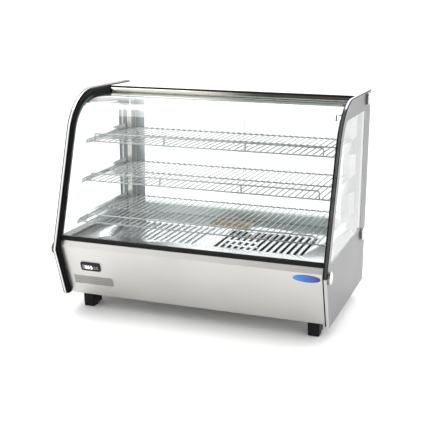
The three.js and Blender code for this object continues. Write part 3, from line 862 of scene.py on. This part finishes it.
# ---- shelves ----
def shelf(level):
    """Round wires: cross wires under the long front-to-back ones, and a guard rail along the front."""
    front_y, z = SHELVES[level]
    under = z + FRAME_WIRE_R
    top = under + FRAME_WIRE_R + WIRE_R * 0.8
    rear_half = SHELF_HALF - WIRE_PITCH
    bm = bmesh.new()
    for y in (front_y + 2, (front_y + SHELF_BACK_Y) / 2):
        tube(bm, [(-SHELF_HALF, y, under), (SHELF_HALF, y, under)], FRAME_WIRE_R, 10)
    rear_y, step_y = SHELF_BACK_Y - 3, SHELF_STEP_Y - 3
    tube(bm, [(-rear_half, rear_y, under), (rear_half, rear_y, under)], FRAME_WIRE_R, 10)
    for sign in (-1, 1):
        corner = [(sign * (rear_half - 4), step_y, under), (sign * SHELF_HALF, step_y, under)]
        tube(bm, corner, FRAME_WIRE_R, 10)
    for i in range(SHELF_WIRES):
        x = (i - (SHELF_WIRES - 1) / 2) * WIRE_PITCH
        back = SHELF_STEP_Y if i in (0, SHELF_WIRES - 1) else SHELF_BACK_Y
        wire = filleted([(x, front_y + 1.5, z + 1), (x, front_y + 1.5, top), (x, back, top)], 3, 3)
        tube(bm, wire, WIRE_R)
    guard_rail(bm, front_y, z)
    return finish_piece(f"shelf_{level}_wires", bm, [WIRE_CHROME], (f"shelf_{level}",), sharp=60)


def guard_rail(bm, front_y, z):
    """Adds a shelf's front rail with rounded corners and two posts."""
    high = z + RAIL_UP
    y = front_y + 2
    rail = [(-RAIL_HALF, y, z + 2), (-RAIL_HALF, y, high), (RAIL_HALF, y, high), (RAIL_HALF, y, z + 2)]
    tube(bm, filleted(rail, 9, 6), FRAME_WIRE_R, 10)
    for x in (-RAIL_POST_X, RAIL_POST_X):
        tube(bm, [(x, y, z + 2), (x, y, high)], FRAME_WIRE_R, 10)


# ---- front fittings ----
def controller():
    """A rounded black bezel with a raised rim round a sunken display window."""
    bm = bmesh.new()
    rings = []
    steps = [
        (-0.3, 33, 14.5, 4),
        (-3.6, 33, 14.5, 4),
        (-4.8, 32.2, 13.7, 3.6),
        (-5, 30.6, 12.1, 3),
        (-3.6, 29, 10.6, 2.4),
    ]
    for y, half_x, half_z, radius in steps:
        rings.append([bm.verts.new((x, y, z)) for x, z in rounded_rectangle(half_x, half_z, radius)])
    skin(bm, rings)
    block(bm, -28.8, 28.8, -0.5, 45, -11.3, 11.3)
    on_front(bm, *CONTROLLER)
    return finish_piece("controller_bezel", bm, [BLACK_PLASTIC], ("controller_body",), sharp=30)


def controller_window():
    bm = bmesh.new()
    plate_y(bm, rounded_rectangle(17.7, 8.2, 1.6), -5.1, -3.5)
    bmesh.ops.translate(bm, vec=(WINDOW_X, 0, 0), verts=bm.verts)
    on_front(bm, *CONTROLLER)
    return finish_piece("controller_window", bm, [LENS], ("controller_lens",), sharp=30)


def digit(bm, value, x):
    """Adds the lit segments of one figure, centred at x."""
    across, up = 2.7, 4.9
    bars = {
        "a": (x, up), "g": (x, 0), "d": (x, -up),
        "b": (x + across, up / 2), "c": (x + across, -up / 2),
        "f": (x - across, up / 2), "e": (x - across, -up / 2),
    }
    for key in LIT_SEGMENTS[value]:
        cx, cz = bars[key]
        half = (2.0, 0.75) if key in "agd" else (0.75, 1.9)
        block(bm, cx - half[0], cx + half[0], -5.35, -4.9, cz - half[1], cz + half[1])


def display_figures():
    bm = bmesh.new()
    for value, x in zip(DISPLAY_VALUE, DIGIT_X):
        digit(bm, value, x)
    on_front(bm, *CONTROLLER)
    return finish_piece("display_figures", bm, [DIGIT_LIGHT])


def controller_key(which, x):
    bm = bmesh.new()
    plate_y(bm, rounded_rectangle(3.3, 5.3, 1.4), -6.1, -3.2)
    soften(bm, 0.5, angle=60)
    bmesh.ops.translate(bm, vec=(x, 0, 0), verts=bm.verts)
    on_front(bm, *CONTROLLER)
    name = f"controller_key_{which}"
    return finish_piece(f"{name}_cap", bm, [KEY_PLASTIC], (name,), sharp=30)


def badge():
    """A plain oval plate with a domed blue face."""
    half_x, half_z = BADGE_HALF
    sides = 64
    bm = bmesh.new()
    rings = []
    for y, inset in ((-0.4, 0), (-1.5, 0), (-1.9, 0.8), (-1.9, 1.6), (-2.3, 3), (-2.7, 6), (-2.9, 10)):
        ring = []
        for k in range(sides):
            angle = 2 * math.pi * k / sides
            x = (half_x - inset) * math.cos(angle)
            z = (half_z - inset * 0.8) * math.sin(angle)
            ring.append(bm.verts.new((x, y, z)))
        rings.append(ring)
    skin(bm, rings)
    on_front(bm, *BADGE)
    return finish_piece("badge_plate", bm, [BADGE_BLUE], ("badge",), sharp=50)


# ---- light ----
def lamp_tube():
    """A slim white tube with a slightly wider cap at each end."""
    y, z = LAMP
    length = 2 * LAMP_HALF
    left_end = [(0, 4), (0.5, 5.6), (12, 6), (13, 5.6)]
    profile = left_end + [(length - height, radius) for height, radius in reversed(left_end)]
    bm = bmesh.new()
    lathe(bm, profile, (-LAMP_HALF, y, z), "x", 1, 32)
    return finish_piece("lamp_tube_glass", bm, [LAMP_WHITE], ("lamp_tube",), sharp=40)


# ---- rear frame details ----
def pile_strip(side):
    """The pale brush strip that closes the gap between a post and its door."""
    x = sign_of(side) * PILE_X
    bm = bmesh.new()
    block(bm, x - 1.6, x + 1.6, *PILE_Y, *PILE_Z)
    soften(bm, 0.6)
    return finish_piece(f"door_pile_strip_{side}", bm, [PILE_CREAM])


def slotted_strip(side):
    """The light strip with hook slots on the front of a post."""
    x = sign_of(side) * HOOK_STRIP_X
    slot_x = sign_of(side) * HOOK_SLOT_X
    bm = bmesh.new()
    block(bm, x - 8, x + 8, 199.6, 200.8, *POST_Z)
    piece = finish_piece(f"slotted_strip_{side}", bm, [STRIP_STEEL])
    cutter = bmesh.new()
    for i in range(HOOK_SLOTS):
        z = HOOK_FIRST_Z + HOOK_PITCH * i
        block(cutter, slot_x - 2.4, slot_x + 2.4, 195, 203, z - 7, z + 7)
    cut_with(piece, loose_object(cutter))
    return piece


def post_gap_shade(side):
    """A dark strip beside the slotted strip, where the bracket hooks go in: painted shade of the gap between
    the side trim and the post.
    """
    x = sign_of(side) * POST_GAP_X
    bm = bmesh.new()
    block(bm, x - 7.2, x + 7.2, 200.3, 200.9, *POST_Z)
    return finish_piece(f"post_gap_shade_{side}", bm, [POST_GAP_PAINTED_SHADE])


def build():
    front_panel()
    vent_shade_sheet()
    top_panel()
    roof_gap_shade_strip()
    roof_slots()
    glass_top_rail()
    for side in ("left", "right"):
        side_panel(side)
        side_trim(side)
        painted_edge_line(side)
        refined(f"rear_post_{side}", POST_STEEL, 0.4)
        refined(f"door_handle_{side}", BLACK_PLASTIC, 0.6)
        refined(f"lamp_hanger_{side}", BLACK_PLASTIC, 0.4)
        side_glass(side)
        door_glass(side)
        pile_strip(side)
        slotted_strip(side)
        post_gap_shade(side)
        roof_screw(side)
        for level, place in KNOBS.items():
            side_knob(side, level, place)
        for end in FEET:
            foot(end, side)
        for level in SHELVES:
            refined(f"bracket_{level}_{side}", BRACKET_STEEL, 0.4)
    for level in SHELVES:
        shelf(level)
    front_glass()
    front_glass_seal()
    controller()
    controller_window()
    display_figures()
    for which, x in KEYS.items():
        controller_key(which, x)
    badge()
    lamp_tube()
    refined("deck_plate", DECK_STEEL, 0.4)
    lit_slot_plate()
    refined("water_pan", PAN_STEEL, 0.5)
    refined("base_pan", BODY_STEEL, 0.5)
    refined("rear_panel", BODY_STEEL, 0.3)
    refined("rear_sill", SILL_STEEL, 0.5)
    refined("rear_header", BODY_STEEL, 0.5)
    refined("switch_plate", BLACK_PLASTIC, 0.6)
    refined("power_rocker", ROCKER_PLASTIC, 0.5)
    refined("light_rocker", ROCKER_PLASTIC, 0.5)
    refined("cable_gland", BLACK_PLASTIC, 0.5)
    refined("fan_motor", FAN_METAL, 0.8)
    refined("fan_impeller", FAN_METAL, 0.3)
    refined("heater_element", HEATER_METAL, 0)


# ---- studio ----
def camera():
    yaw, pitch, roll = (math.radians(a) for a in (CAMERA_YAW, CAMERA_PITCH, CAMERA_ROLL))
    forward = Vector((-math.sin(yaw) * math.cos(pitch), math.cos(yaw) * math.cos(pitch), -math.sin(pitch)))
    right = Vector((math.cos(yaw), math.sin(yaw), 0))
    up = right.cross(forward)
    tilted_right = right * math.cos(roll) + up * math.sin(roll)
    tilted_up = up * math.cos(roll) - right * math.sin(roll)
    data = bpy.data.cameras.new("camera")
    data.lens = CAMERA_LENS
    data.sensor_width = SENSOR
    data.clip_end = 100
    made = bpy.data.objects.new("camera", data)
    turn = Matrix((tilted_right, tilted_up, -forward)).transposed().to_4x4()
    made.matrix_world = Matrix.Translation(Vector(CAMERA_PLACE) * MM) @ turn
    bpy.context.scene.collection.objects.link(made)
    bpy.context.scene.camera = made


def floor():
    """A pale floor with painted shade that darkens it a little farther out."""
    bm = bmesh.new()
    corners = ((-1, -1), (1, -1), (1, 1), (-1, 1))
    bm.faces.new([bm.verts.new((x * FLOOR_HALF, y * FLOOR_HALF, 0)) for x, y in corners])
    mesh = bpy.data.meshes.new("floor")
    bm.to_mesh(mesh)
    bm.free()
    made = bpy.data.objects.new("floor", mesh)
    m = Nodes("floor_white", FLOOR_NEAR, 0.9)
    length = m.node("ShaderNodeVectorMath", operation="LENGTH")
    m.link(m.coordinates, length.inputs[0])
    # Painted shade: the floor's colour darkens with distance from the case.
    painted_falloff = smooth_range(m.tree, length.outputs["Value"], FLOOR_SHADE_FADE, (0, 1))
    speck = smooth_range(m.tree, m.noise(3), (0, 1), (0, 0.02))
    both = m.node("ShaderNodeMath", operation="ADD")
    m.link(painted_falloff, both.inputs[0])
    m.link(speck, both.inputs[1])
    m.vary_color(both.outputs["Value"], FLOOR_NEAR, FLOOR_FAR_SHADE, 0.0, 1.0)
    m.shader.inputs["Specular IOR Level"].default_value = 0.0
    mesh.materials.append(m.material)
    bpy.context.scene.collection.objects.link(made)


def area_light(name, place, target, size, power):
    data = bpy.data.lights.new(name, "AREA")
    data.shape = "RECTANGLE"
    data.size, data.size_y = size
    data.energy = power
    made = bpy.data.objects.new(name, data)
    made.location = place
    aim = Vector(target) - Vector(place)
    made.rotation_euler = aim.to_track_quat("-Z", "Y").to_euler()
    bpy.context.scene.collection.objects.link(made)


def dot_with(tree, direction, axis):
    made = tree.nodes.new("ShaderNodeVectorMath")
    made.operation = "DOT_PRODUCT"
    made.inputs[1].default_value = Vector(axis).normalized()
    tree.links.new(direction, made.inputs[0])
    return made.outputs["Value"]


def smooth_range(tree, value, before, after):
    made = tree.nodes.new("ShaderNodeMapRange")
    made.interpolation_type = "SMOOTHSTEP"
    made.inputs["From Min"].default_value, made.inputs["From Max"].default_value = before
    made.inputs["To Min"].default_value, made.inputs["To Max"].default_value = after
    tree.links.new(value, made.inputs["Value"])
    return made.outputs["Result"]


def product(tree, values):
    """The node values multiplied together."""
    total = values[0]
    for value in values[1:]:
        made = tree.nodes.new("ShaderNodeMath")
        made.operation = "MULTIPLY"
        tree.links.new(total, made.inputs[0])
        tree.links.new(value, made.inputs[1])
        total = made.outputs["Value"]
    return total


def world():
    """A soft dome, bright overhead and behind, with dark screens that the polished pieces mirror."""
    made = bpy.data.worlds.new("studio")
    made.use_nodes = True
    tree = made.node_tree
    background = tree.nodes["Background"]
    background.inputs["Color"].default_value = (1, 1, 1, 1)
    direction = tree.nodes.new("ShaderNodeTexCoord").outputs["Generated"]
    dome = smooth_range(tree, dot_with(tree, direction, DOME_BRIGHT), DOME_SPREAD, DOME_RANGE)
    towards, ends, taken = LEFT_SCREEN
    left = smooth_range(tree, dot_with(tree, direction, towards), ends, (1, 1 - taken))
    sides = [smooth_range(tree, dot_with(tree, direction, axis), span, (0, 1)) for axis, span in FRONT_SCREEN]
    front = smooth_range(tree, product(tree, sides), (0, 1), (1, 1 - FRONT_SCREEN_TAKES))
    tree.links.new(product(tree, [dome, left, front]), background.inputs["Strength"])
    bpy.context.scene.world = made


def studio():
    camera()
    floor()
    world()
    area_light("key", place=(-2.1, 0.4, 3.2), target=(0, 0, 0.3), size=(2.4, 2.2), power=56)
    bpy.context.scene.view_settings.view_transform = "Standard"


build()
studio()
